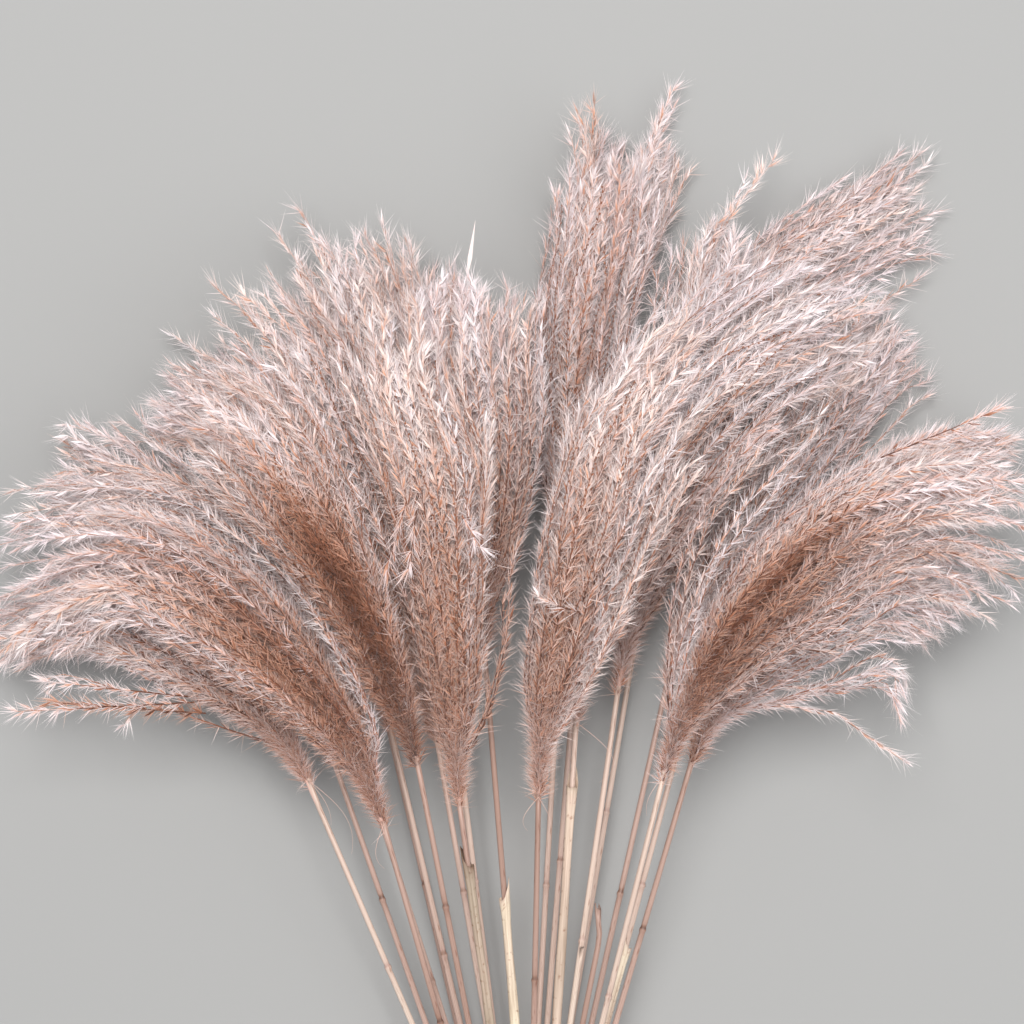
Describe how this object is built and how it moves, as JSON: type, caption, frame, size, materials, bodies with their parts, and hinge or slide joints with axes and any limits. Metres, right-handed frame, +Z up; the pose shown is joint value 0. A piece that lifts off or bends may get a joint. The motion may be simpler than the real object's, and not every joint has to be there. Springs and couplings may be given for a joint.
{
  "type": "bundle of dried reed grass",
  "caption": "Bundle of dried reed grass with feathery plumes fanned out on thin culms, bound with twine and lying on its side.",
  "frame": {"origin": "middle of the bundle's footprint, on the surface it lies on", "axes": "+Y along the bundle from the cut ends to the plumes' tips, +Z up from the surface, +X to the right seen from above"},
  "size_m": [0.412, 0.5936, 0.1053],
  "materials": {
    "culm": "dry straw with a faint gloss",
    "sheath": "dry papery leaf",
    "plume_silver": "soft silvery down",
    "plume_pink": "soft pinkish down",
    "plume_beige": "soft beige down",
    "plume_tan": "soft tan down",
    "twine": "rough plant-fibre twine"
  },
  "bodies": {
    "root": {"culm_01": "culm", "culm_02": "culm", "culm_03": "culm", "culm_04": "culm", "culm_05": "culm", "culm_06": "culm", "culm_07": "culm", "culm_08": "culm", "culm_09": "culm", "culm_10": "culm", "culm_11": "culm", "culm_12": "culm", "culm_13": "culm", "culm_14": "culm", "culm_15": "culm", "culm_16": "culm", "culm_17": "culm", "culm_18": "culm", "culm_19": "culm", "culm_20": "culm", "culm_21": "culm", "culm_22": "culm", "snapped_culm": "culm", "leaf_sheath_1": "sheath", "leaf_sheath_2": "sheath", "leaf_sheath_3": "sheath", "leaf_sheath_4": "sheath", "plume_01": "plume_silver", "plume_02": "plume_silver", "plume_03": "plume_silver", "plume_04": "plume_silver", "plume_05": "plume_silver", "plume_06": "plume_pink", "plume_07": "plume_pink", "plume_08": "plume_pink", "plume_09": "plume_pink", "plume_10": "plume_pink", "plume_11": "plume_pink", "plume_12": "plume_beige", "plume_13": "plume_beige", "plume_14": "plume_beige", "plume_15": "plume_beige", "plume_16": "plume_beige", "plume_17": "plume_beige", "plume_18": "plume_tan", "plume_19": "plume_tan", "plume_20": "plume_tan", "plume_21": "plume_tan", "plume_22": "plume_tan", "twine_tie": "twine"}
  },
  "joints": []
}
